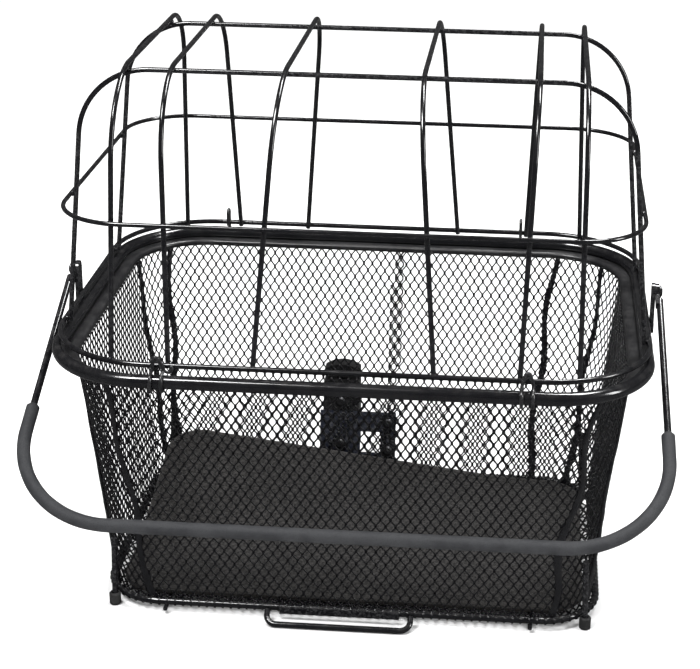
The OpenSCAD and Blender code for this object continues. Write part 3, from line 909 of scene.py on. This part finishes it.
@dataclass
class ExpandedWall:
    """Mesh wall: slit and stretched sheet steel, its folds, seam and bottom wrap."""

    shape: WallShape = field(default_factory=WallShape)
    pitch_w: float = 0.00665
    pitch_h: float = 0.0107
    strand_w: float = 0.00092
    strand_t: float = 0.0008
    bond: float = 0.00115
    strand_lean: float = 0.42
    fold_w: float = 0.0062
    fold_t: float = 0.0030
    seam_x: float = 0.0145
    seam_w: float = 0.0085
    seam_drift: float = 0.028
    floor_lean: float = 0.3
    floor_gap: float = 0.0012
    base_corner_r: float = 0.040
    wrap_share: float = 0.83
    wrap_turn: tuple[float, float] = (158, -70)

    def lattice(
        self, panel: Panel, out: float = 0.0, width: float | None = None
    ) -> tuple[Points, np.ndarray]:
        """Makes the strands of one panel.

        Args:
            panel: where they run.
            out: distance outside the wall's middle surface.
            width: strand width, if not the usual one.

        Returns:
            Points and quads.
        """
        shape, half_h = self.shape, self.pitch_h / 2
        rows = int((shape.top_z - shape.low_z) / half_h) + 1
        columns = np.arange(-48, 49)
        i, j = np.meshgrid(columns, np.arange(rows), indexing="ij")
        s0 = panel.shift + (i + 0.5 * (j % 2)) * self.pitch_w
        z0 = shape.top_z - 0.0012 - j * half_h
        strands = []
        for hand in (-1, 1):
            s1, z1 = s0 + hand * self.pitch_w / 2, np.maximum(z0 - half_h, shape.low_z)
            mid_s, mid_z = (s0 + s1) / 2, (z0 + z1) / 2
            inside = (mid_s > panel.low_edge(mid_z)) & (mid_s < panel.high_edge(mid_z))
            keep = inside & (z0 - z1 > half_h * 0.3)
            a, b, za, zb = s0[keep], s1[keep], z0[keep], z1[keep]
            inset = hand * self.strand_w * 0.42
            path_s = np.stack([a + inset, a + inset * 1.15, (a + b) / 2, b - inset * 1.15, b - inset], 1)
            path_z = np.stack([za, za - self.bond, (za + zb) / 2, zb + self.bond, zb], 1)
            points, normals = shape.at(panel.side, path_s, path_z, out)
            lean = np.full(len(a), hand * self.strand_lean)
            strands.append(flat_strands(points, normals, width or self.strand_w, self.strand_t, lean))
        return joined(strands)

    def panels(self) -> dict[str, list[Panel]]:
        """Lists the stretches of wall under the piece that each belongs to."""
        front, back, left, right = Side.FRONT, Side.BACK, Side.LEFT, Side.RIGHT
        rows = [
            ("wall_front", front, "front_left_front", -1, "front_right_front", 1, 0.0),
            ("wall_front", front, "front_left_side", -1, "front_left_front", -1, 0.002),
            ("wall_front", front, "front_right_front", 1, "front_right_side", 1, 0.003),
            ("wall_back", back, "back_right_back", -1, "back_left_back", 1, 0.0),
            ("wall_back", back, "back_right_side", -1, "back_right_back", -1, 0.003),
            ("wall_back", back, "back_left_back", 1, "back_left_side", 1, 0.002),
            ("wall_left", left, "back_left_side", -1, "front_left_side", 1, 0.0),
            ("wall_right", right, "front_right_side", -1, "back_right_side", 1, 0.0),
        ]

        def edge(pleat: str, side: Side, sign: int) -> Callable[[Points], Points]:
            """Gives a fold's place along a face as a function of height."""
            return lambda z: sign * PLEATS[pleat].on(side, self.shape, z)

        panels: dict[str, list[Panel]] = {}
        for piece, side, low, low_sign, high, high_sign, shift in rows:
            panel = Panel(side, edge(low, side, low_sign), edge(high, side, high_sign), shift)
            panels.setdefault(piece, []).append(panel)
        return panels

    def fold(self, pleat: Pleat) -> tuple[Points, list]:
        """Makes a crushed ribbon where the sheet is folded flat on itself.

        Args:
            pleat: the fold's course.

        Returns:
            Points and faces.
        """
        rows = 120
        z = np.linspace(self.shape.top_z - 0.001, self.shape.low_z + 0.002, rows)
        t = (z - self.shape.low_z) / (self.shape.top_z - self.shape.low_z)
        front = pleat.corner.value[1] < 0
        side = Side.FRONT if front else Side.BACK
        sign = pleat.corner.value[0] * (1 if front else -1)
        s = sign * pleat.on(side, self.shape, z)
        rng = np.random.default_rng(len(pleat.name) + int(pleat.top_deg))
        tooth = 0.5 + 0.5 * np.sin(2 * np.pi * z / (self.pitch_h / 2) + pleat.phase)
        loose = drift(rng, rows, 6)
        width = self.fold_w * (0.62 + 0.25 * tooth + 0.14 * loose) * (0.85 + 0.35 * (1 - t))
        lift = self.fold_t * (0.4 + 0.2 * loose)
        section = [(-0.5, -0.1), (-0.46, 0.5), (-0.12, 1.0), (0.2, 0.55)]
        section += [(0.5, 0.75), (0.54, 0.1), (0.2, -0.35), (-0.2, -0.3)]
        rings = []
        for across, up in section:
            out = lift * 0.3 + up * self.fold_t * 0.6
            rings.append(self.shape.at(side, s + across * width, z, out)[0])
        points = np.stack(rings, 1).reshape(-1, 3)
        return points, capped(rows, len(section))

    def bottom_wrap(self) -> tuple[Points, np.ndarray]:
        """Makes the strand ends that are bent round the base ring.

        Returns:
            Points and quads.
        """
        low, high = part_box("base_ring")
        wire = (high.z - low.z) / 2
        half_w, half_d = (high.x - low.x) / 2 - wire, (high.y - low.y) / 2 - wire
        centre_z = (high.z + low.z) / 2
        path, outward = rounded_ring(half_w, half_d, self.base_corner_r, self.pitch_w * self.wrap_share)
        angles = np.radians(np.linspace(*self.wrap_turn, 9))
        hug = wire + self.strand_t * 0.45
        along = np.cos(angles)[None, :, None] * outward[:, None, :] * hug
        flat = path[:, None, :] + along
        rise = np.broadcast_to(centre_z + hug * np.sin(angles), flat.shape[:2])
        stations = np.concatenate([flat, rise[..., None]], -1)
        normal = np.concatenate([np.cos(angles)[None, :, None] * outward[:, None, :],
                                 np.broadcast_to(np.sin(angles), flat.shape[:2])[..., None]], -1)
        return flat_strands(stations, normal, self.strand_w * 1.35, self.strand_t * 0.7, np.zeros(len(path)))

    def floor(self) -> tuple[Points, np.ndarray]:
        """Makes the expanded floor inside the base ring.

        Returns:
            Points and quads.
        """
        shape, half_h = self.shape, self.pitch_h / 2
        i, j = np.meshgrid(np.arange(-26, 27), np.arange(-20, 21), indexing="ij")
        x0, y0 = (i + 0.5 * (j % 2)) * self.pitch_w, j * half_h
        strands = []
        for hand in (-1, 1):
            x1, y1 = x0 + hand * self.pitch_w / 2, y0 + half_h
            w, d, r = shape.low_w - self.floor_gap, shape.low_d - self.floor_gap, shape.low_r
            past_x = np.maximum(np.abs((x0 + x1) / 2) - w + r, 0)
            past_y = np.maximum(np.abs((y0 + y1) / 2) - d + r, 0)
            keep = np.hypot(past_x, past_y) < r
            a, b, ya, yb = x0[keep], x1[keep], y0[keep], y1[keep]
            inset = hand * self.strand_w * 0.42
            xs = np.stack([a + inset, a + inset, b - inset, b - inset], 1)
            ys = np.stack([ya, ya + self.bond, yb - self.bond, yb], 1)
            stations = np.stack([xs, ys, np.full_like(xs, shape.low_z + 0.0008)], -1)
            normal = np.broadcast_to([0.0, 0.0, 1.0], stations.shape)
            lean = np.full(len(a), hand * self.floor_lean)
            strands.append(flat_strands(stations, normal, self.strand_w, self.strand_t, lean))
        return joined(strands)

    def build(self) -> None:
        """Builds every piece of the wall and floor."""
        paint = FINISHES["mesh_paint"]
        for name, panels in self.panels().items():
            verts, faces = joined([self.lattice(panel) for panel in panels])
            settle(make_piece(name, placed(verts), faces, paint), "basket", "mesh_paint", "mesh_wall")
        far, near = lambda z: -self.seam_at(z) - self.seam_w, lambda z: -self.seam_at(z)
        seam = Panel(Side.BACK, far, near, 0.0021)
        verts, faces = self.lattice(seam, self.strand_t * 0.9, self.strand_w * 1.25)
        settle(make_piece("wall_seam", placed(verts), faces, paint), "basket", "mesh_paint", "mesh_wall")
        for pleat in PLEATS.values():
            verts, faces = self.fold(pleat)
            piece = make_piece("fold_" + pleat.name, placed(verts), faces, FINISHES["frame_paint"])
            settle(piece, "basket", "mesh_paint", "mesh_wall")
        verts, faces = self.bottom_wrap()
        wrap = make_piece("wall_bottom_wrap", placed(verts), faces, FINISHES["frame_paint"])
        settle(wrap, "basket", "mesh_paint", "mesh_wall")
        verts, faces = self.floor()
        settle(make_piece("floor_mesh", placed(verts), faces, paint), "basket", "mesh_paint", "mesh_floor")

    def seam_at(self, z: Points) -> Points:
        """Returns the place of the lapped seam at a height; it drifts sideways down the wall."""
        return self.seam_x - self.seam_w / 2 - self.seam_drift * (self.shape.top_z - z)


@dataclass
class Hem:
    """Folded strip that carries the mesh's top edge inside the rim tube."""

    rim: RimSizes = field(default_factory=RimSizes)
    notch_half: float = 0.008
    notch_reach: float = 0.0079
    # distance inward from the tube's centre line, height above it
    section: tuple[tuple[float, float], ...] = (
        (3.3, -3.1), (4.6, -2.5), (7.5, -2.3), (10.4, -2.5), (11.9, -3.1), (12.5, -4.2),
        (12.4, -6.6), (11.8, -6.7), (11.5, -4.6), (10.2, -3.5), (7.5, -3.3), (4.8, -3.5),
    )

    def build(self) -> None:
        """Builds the strip, notched at the clips."""
        rim = self.rim
        path, outward = rounded_ring(rim.half_w, rim.half_d, rim.corner_r, 0.002)
        clips = [sum(corner.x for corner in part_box(clip)) / 2 for clip in ("clip_left", "clip_right")]
        notched = (path[:, 1] < 0) & np.any([np.abs(path[:, 0] - x) < self.notch_half for x in clips], 0)
        rng = np.random.default_rng(5)
        ripple = drift(rng, len(path), 9)
        rings = []
        for inward, up in self.section:
            reach = np.where(notched, np.maximum(inward * MM, self.notch_reach), inward * MM)
            flat = path - outward * (reach + ripple * 0.00012)[:, None]
            rings.append(np.column_stack([flat, rim.height + up * MM + ripple * 0.00015]))
        points = np.stack(rings, 1).reshape(-1, 3)
        faces = [turned(quad) for quad in tube_faces(len(path), len(self.section), closed=True)]
        piece = make_piece("hem_strip", placed(points), faces, FINISHES["hem_paint"])
        settle(piece, "basket", "hem_paint", "hem_band")


@dataclass
class FloorMat:
    """Loose mat with raised studs, its back left corner riding up the wall."""

    half_w: float = 0.1608
    half_d: float = 0.0983
    corner_r: float = 0.028
    thick: float = 0.0034
    fold_from: tuple[float, float] = (0.118, 0.0985)
    fold_to: tuple[float, float] = (-0.161, -0.032)
    lift_deg: float = 18.0
    bend_over: float = 0.030
    stud_pitch: float = 0.0052
    stud_h: float = 0.0010
    grid: float = 0.00115

    def studs(self, x: Points, y: Points) -> Points:
        """Draws ring-shaped studs on a triangular grid.

        Args:
            x: place across the flat mat.
            y: place along the flat mat.

        Returns:
            Height of the studs, from 0 to about 1.
        """
        row_h = self.stud_pitch * math.sqrt(3) / 2
        best = np.full(x.shape, np.inf)
        for dj in (0, 1):
            j = np.floor(y / row_h) + dj
            offset = (j % 2) * 0.5
            i = np.round(x / self.stud_pitch - offset)
            best = np.minimum(best, np.hypot(x - (i + offset) * self.stud_pitch, y - j * row_h))
        ring = np.exp(-(((best - 0.0014) / 0.0007) ** 2))
        return ring + 0.25 * np.exp(-((best / 0.0008) ** 2))

    def curled(self, x: Points, y: Points, h: Points) -> Points:
        """Lays points of the flat mat over its curl.

        Args:
            x: place across the flat mat.
            y: place along the flat mat.
            h: height above its underside.

        Returns:
            The points as they lie.
        """
        a, b = np.array(self.fold_from), np.array(self.fold_to)
        along = unit((a - b)[None])[0]
        behind = np.array([-along[1], along[0]])
        e = (x - b[0]) * behind[0] + (y - b[1]) * behind[1] + self.bend_over / 2
        full = math.radians(self.lift_deg)
        radius = self.bend_over / full
        turn = np.clip(e / radius, 0, full)
        rest = np.maximum(e - self.bend_over, 0)
        flat = np.minimum(e, 0) + radius * np.sin(turn) + rest * math.cos(full)
        rise = radius * (1 - np.cos(turn)) + rest * math.sin(full)
        move = flat - e - h * np.sin(turn)
        return np.stack([x + behind[0] * move, y + behind[1] * move, rise + h * np.cos(turn)], -1)

    def build(self) -> None:
        """Builds the mat as one closed sheet."""
        nx, ny = round(2 * self.half_w / self.grid), round(2 * self.half_d / self.grid)
        u, v = np.meshgrid(np.linspace(-1, 1, nx), np.linspace(-1, 1, ny), indexing="ij")
        x, y = self.rounded(u, v)
        edge = np.clip(np.minimum(1 - np.abs(u), 1) * self.half_w / 0.002, 0, 1)
        edge = np.minimum(edge, np.clip((1 - np.abs(v)) * self.half_d / 0.002, 0, 1))
        top = self.thick - 0.0012 * (1 - edge) ** 2 + self.studs(x, y) * self.stud_h * edge
        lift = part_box("mat")[0].z
        upper = self.curled(x, y, top).reshape(-1, 3)
        under = self.curled(x, y, np.zeros_like(top)).reshape(-1, 3)
        points = np.concatenate([upper, under]) + [0, 0, lift]
        number = np.arange(nx * ny).reshape(nx, ny)
        quads = [number[:-1, :-1], number[1:, :-1], number[1:, 1:], number[:-1, 1:]]
        quads = np.stack(quads, -1).reshape(-1, 4)
        ring = np.concatenate([number[:-1, 0], number[-1, :-1], number[:0:-1, -1], number[0, :0:-1]])
        after = np.roll(ring, -1)
        wall = np.stack([ring, ring + nx * ny, after + nx * ny, after], -1)
        faces = np.concatenate([quads, quads[:, ::-1] + nx * ny, wall])
        mat = make_piece("floor_mat", placed(points), faces, FINISHES["mat_fabric"])
        settle(mat, "basket", "mat_fabric", "mat")

    def rounded(self, u: Points, v: Points) -> tuple[Points, Points]:
        """Maps a square grid to a plate with round corners.

        Args:
            u: place across, from -1 to 1.
            v: place along, from -1 to 1.

        Returns:
            The x and y of the plate's points.
        """
        x, y = u * self.half_w, v * self.half_d
        px = np.abs(x) - (self.half_w - self.corner_r)
        py = np.abs(y) - (self.half_d - self.corner_r)
        far = np.maximum(np.maximum(px, py), 1e-9)
        pull = np.where((px > 0) & (py > 0), far / np.hypot(px, py), 1.0)
        corner = (px > 0) & (py > 0)
        x = np.where(corner, np.sign(x) * (self.half_w - self.corner_r + px * pull), x)
        y = np.where(corner, np.sign(y) * (self.half_d - self.corner_r + py * pull), y)
        return x, y


@dataclass
class Dome:
    """Hinged wire dome: carried-over wires with a weld bead at every crossing."""

    ring_r: float = 0.070
    mid_r: float = 0.046
    ring_d: float = 0.0036
    mid_d: float = 0.003
    bead: float = 0.0019
    reach: float = 0.0042

    def hoops(self) -> list[str]:
        """Names of all hoop nodes."""
        return [n for n in frame["nodes"] if n.startswith("dome_") and "hoop" in n]

    def ring_path(self, node: str, corner_r: float, wire: float) -> Points:
        """Draws the centre line of a ring node.

        Args:
            node: the ring.
            corner_r: its corner radius.
            wire: its wire diameter.

        Returns:
            Points round the ring.
        """
        low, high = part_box(node)
        path, _ = rounded_ring((high.x - low.x - wire) / 2, (high.y - low.y - wire) / 2, corner_r, 0.0008)
        rise = np.full(len(path), (high.z + low.z) / 2)
        return np.column_stack([path[:, 0], path[:, 1] + (high.y + low.y) / 2, rise])

    def crossings(self, path: Points, node: str) -> list[Points]:
        """Finds where a centre line passes close to a wire.

        Args:
            path: the centre line's points.
            node: the other wire.

        Returns:
            One point between the two wires for each pass.
        """
        mesh = frame["nodes"][node].data
        tree = BVHTree.FromPolygons([v.co for v in mesh.vertices], [p.vertices for p in mesh.polygons])
        near = [tree.find_nearest(Vector(p)) for p in path]
        gaps = np.array([hit[3] for hit in near])
        spots = []
        for i in np.flatnonzero(gaps < self.reach):
            window = gaps[max(0, i - 12) : i + 13]
            spot = (np.array(near[i][0]) + path[i]) / 2
            if gaps[i] <= window.min() and all(np.linalg.norm(spot - s) > 0.01 for s in spots):
                spots.append(spot)
        return spots

    def beads(self) -> tuple[Points, list]:
        """Makes the weld beads as small uneven lumps.

        Returns:
            Points and faces.
        """
        spots = []
        rings_of_dome = (
            ("dome_ring", self.ring_r, self.ring_d),
            ("dome_mid_ring", self.mid_r, self.mid_d),
        )
        for node, corner_r, wire in rings_of_dome:
            path = self.ring_path(node, corner_r, wire)
            for hoop in self.hoops():
                spots += self.crossings(path, hoop)
        for node in ("dome_long_hoop_front", "dome_long_hoop_rear"):
            low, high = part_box(node)
            xs = np.linspace(-0.16, 0.16, 400)
            line = np.column_stack([xs, np.full(400, (low.y + high.y) / 2), np.full(400, high.z - 0.0017)])
            for hoop in self.hoops():
                if "cross" in hoop:
                    spots += self.crossings(line, hoop)
        rng = np.random.default_rng(11)
        rings, sides = 7, 10
        verts, faces = [], []
        for spot in spots:
            start = len(verts)
            stretch = rng.uniform(0.85, 1.15, 3) * self.bead
            for i in range(rings):
                a = math.pi * (i + 0.5) / rings
                for k in range(sides):
                    b = 2 * math.pi * k / sides
                    lump = 1 + 0.08 * math.sin(3 * b + start)
                    offset = np.array([math.sin(a) * math.cos(b), math.sin(a) * math.sin(b), math.cos(a)])
                    verts.append(spot + offset * stretch * lump)
            faces += [[start + n for n in turned(quad)] for quad in tube_faces(rings, sides)]
            faces.append([start + k for k in range(sides)])
            faces.append([start + (rings - 1) * sides + k for k in range(sides - 1, -1, -1)])
        log.info("dome welds: %d beads", len(spots))
        return np.array(verts), faces

    def build(self) -> None:
        """Dresses the wires and adds the beads."""
        for node in ["dome_ring", "dome_mid_ring", *self.hoops()]:
            dress(node)
        verts, faces = self.beads()
        settle(make_piece("dome_welds", verts, faces, FINISHES["frame_paint"]), "dome", "frame_paint")


@dataclass
class Handle:
    """Swinging bail with a foam sleeve."""

    grip_r: float = 0.00445
    corner_r: float = 0.066
    half_w: float = 0.2115
    reach: float = 0.2045
    arm_x: float = 0.20495
    arm_from: float = 0.007
    up_arm: float = 0.088
    hang_deg: float = 31.5

    def grip_path(self, step: float = 0.0015) -> Points:
        """Draws the centre line of the sleeve, in the plane of the bail.

        Args:
            step: distance between points.

        Returns:
            Points, two columns wide.
        """
        lean = (self.half_w - self.arm_x) / (self.reach - self.arm_from)
        start = self.reach - self.up_arm
        ends = [np.array([s * (self.arm_x + lean * (start - self.arm_from)), -start]) for s in (-1, 1)]
        corners = [np.array([s * self.half_w, -self.reach]) for s in (-1, 1)]
        chain = [ends[0], corners[0], corners[1], ends[1]]
        points = [chain[0]]
        for before, corner, after in zip(chain, chain[1:], chain[2:], strict=False):
            u, v = unit((before - corner)[None])[0], unit((after - corner)[None])[0]
            half = math.acos(float(np.clip(u @ v, -1, 1))) / 2
            first = corner + u * self.corner_r / math.tan(half)
            last = corner + v * self.corner_r / math.tan(half)
            centre = corner + unit((u + v)[None])[0] * self.corner_r / math.sin(half)
            a0, a1 = (math.atan2(*(p - centre)[::-1]) for p in (first, last))
            sweep = (a1 - a0 + math.pi) % (2 * math.pi) - math.pi
            count = round(abs(sweep) * self.corner_r / step)
            for a in (a0 + sweep * i / count for i in range(count + 1)):
                points.append(centre + self.corner_r * np.array([math.cos(a), math.sin(a)]))
        points.append(chain[-1])
        dense = []
        for p, q in zip(points, points[1:], strict=False):
            n = max(1, round(np.linalg.norm(q - p) / step))
            dense += [p + (q - p) * i / n for i in range(n)]
        return np.array([*dense, points[-1]])

    def hung(self, flat: Points, pivot: Vector) -> Points:
        """Turns points of the bail's plane to where it hangs.

        Args:
            flat: the points, two columns wide.
            pivot: middle of the rivets' axis.

        Returns:
            The points in the frame.
        """
        a = math.radians(self.hang_deg)
        y, z = pivot.y + flat[:, 1] * math.cos(a), pivot.z + flat[:, 1] * math.sin(a)
        return np.column_stack([flat[:, 0], y, z])

    def build(self) -> None:
        """Builds the sleeve and dresses the bail."""
        dress("handle_bail")
        hinge = next(j for j in frame["joints"] if j["name"] == "handle_swing")
        path = self.hung(self.grip_path(), Vector(hinge["pos_m"]))
        run = np.concatenate([[0], np.cumsum(np.linalg.norm(np.diff(path, axis=0), axis=1))])
        end = np.minimum(run, run[-1] - run)
        soft = np.sqrt(np.clip(1 - (1 - np.clip(end / 0.0016, 0, 1)) ** 2, 0, 1))
        waves = 0.00004 * np.sin(run * 310) + 0.00003 * np.sin(run * 97)
        radius = self.grip_r * (0.72 + 0.28 * soft) + waves
        verts, faces = sweep_wire(path, radius, 24)
        grip = make_piece("foam_grip", verts, faces, FINISHES["grip_foam"])
        settle(grip, "handle", "grip_foam", "handle_grip")


@dataclass
class FrontClips:
    """Wire clips on the front of the rim, the left one with a curled tail."""

    wire_r: float = 0.0012

    def tail(self) -> Points:
        """Draws the left clip's free end, which curls beside it.

        Returns:
            Points of its centre line.
        """
        low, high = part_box("clip_left")
        x = (low.x + high.x) / 2 + 0.0036
        rim = RimSizes()
        y, z = BASKET_Y - rim.half_d + 0.0030, rim.height
        turns = np.radians(np.linspace(200, 400, 18))
        curl_x, curl_z = x + 0.0032 + 0.0026 * np.cos(turns), z + 0.0085 + 0.0026 * np.sin(turns)
        curl = np.column_stack([curl_x, np.full(18, y - 0.0008), curl_z])
        lead = np.array([[x, y, z + 0.0128], [x + 0.0001, y - 0.0003, z + 0.0105]])
        return np.concatenate([lead, curl])

    def build(self) -> None:
        """Dresses both clips and adds the tail."""
        for node in ("clip_left", "clip_right"):
            dress(node)
        verts, faces = sweep_wire(self.tail(), self.wire_r * 0.85, 10)
        settle(make_piece("clip_left_tail", verts, faces, FINISHES["clip_paint"]), "clip_left", "clip_paint")


@dataclass
class Studio:
    """Pale floor, soft lights and the camera."""

    stand: tuple[float, float, float] = (0.1140, -1.1582, 0.6447)
    down_deg: float = 19.41
    turn_deg: float = 4.33
    roll_deg: float = 0.79
    lens: float = 92.2
    shift: tuple[float, float] = (-0.0714, -0.1137)
    floor_half: float = 6.0

    def floor(self) -> None:
        """Lays the floor, pale to the camera and near black in reflections."""
        s = Surface("studio_floor", Effects())
        s.set(Roughness=0.9, Specular_IOR_Level=0.05)
        path = s.tree.nodes.new("ShaderNodeLightPath")
        # painted reflection: mirror rays see the floor near black, which keeps the black paint's undersides dark
        s.feed("Base Color", s.blend(path.outputs["Is Glossy Ray"], (0.94, 0.94, 0.94), (0.06, 0.06, 0.06)))
        h = self.floor_half
        points = np.array([[-h, -h, 0], [h, -h, 0], [h, h, 0], [-h, h, 0]], float)
        make_piece("studio_floor", points, [[0, 1, 2, 3]], s.material)

    def lamp(self, name: str, place: tuple, aim: tuple, size: tuple, power: float) -> None:
        """Hangs one soft rectangular light.

        Args:
            name: its name.
            place: where it hangs.
            aim: the point that it faces.
            size: its width and height.
            power: its strength in watts.
        """
        light = bpy.data.lights.new(name, "AREA")
        light.shape = "RECTANGLE"
        light.size, light.size_y = size
        light.energy = power
        lamp = bpy.data.objects.new(name, light)
        bpy.context.scene.collection.objects.link(lamp)
        lamp.location = place
        lamp.rotation_mode = "QUATERNION"
        lamp.rotation_quaternion = (Vector(aim) - Vector(place)).to_track_quat("-Z", "Y")

    def world(self) -> None:
        """Sets a white surround that lights the object weakly."""
        world = bpy.data.worlds.new("studio_world")
        world.use_nodes = True
        tree = world.node_tree
        back = tree.nodes["Background"]
        path = tree.nodes.new("ShaderNodeLightPath")
        back.inputs["Color"].default_value = (1, 1, 1, 1)
        mirrored = Effects.math(tree, "MULTIPLY", path.outputs["Is Glossy Ray"], -0.66)
        seen = Effects.math(tree, "MULTIPLY", path.outputs["Is Camera Ray"], 0.35)
        level = Effects.math(tree, "ADD", mirrored.outputs[0], seen.outputs[0])
        level = Effects.math(tree, "ADD", level.outputs[0], 0.72)
        tree.links.new(level.outputs[0], back.inputs["Strength"])
        bpy.context.scene.world = world

    def camera(self) -> None:
        """Stands the camera in front, a little above and to the right."""
        data = bpy.data.cameras.new("camera")
        data.sensor_width = 36.0
        data.lens = self.lens
        data.shift_x, data.shift_y = self.shift
        data.clip_start, data.clip_end = 0.05, 50.0
        camera = bpy.data.objects.new("camera", data)
        bpy.context.scene.collection.objects.link(camera)
        camera.matrix_world = (
            Matrix.Translation(self.stand)
            @ Matrix.Rotation(math.radians(self.turn_deg), 4, "Z")
            @ Matrix.Rotation(math.radians(90 - self.down_deg), 4, "X")
            @ Matrix.Rotation(math.radians(self.roll_deg), 4, "Z")
        )
        bpy.context.scene.camera = camera

    def build(self) -> None:
        """Sets up the whole studio."""
        self.floor()
        self.world()
        self.lamp("key_light", (-0.7, -0.8, 2.0), (0, 0, 0.2), (0.6, 0.6), 44)
        self.lamp("top_light", (0.5, 0.5, 1.9), (0, 0, 0.2), (0.9, 0.35), 34)
        self.lamp("right_light", (1.7, -0.5, 0.8), (0, 0, 0.2), (0.35, 0.8), 13)
        bpy.context.scene.view_settings.view_transform = "Standard"
        self.camera()


def dress_the_rest() -> None:
    """Dresses every design node that no piece replaces and no class has dressed."""
    for name, node in frame["nodes"].items():
        if not node.hide_render and "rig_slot" not in node:
            dress(name)


def main() -> None:
    """Builds the studio and every sub-assembly in order."""
    logging.basicConfig(level=logging.INFO, format="%(name)s: %(message)s")
    Studio().build()
    ExpandedWall().build()
    Hem().build()
    FloorMat().build()
    Dome().build()
    Handle().build()
    FrontClips().build()
    dress_the_rest()


if __name__ == "__main__":
    main()
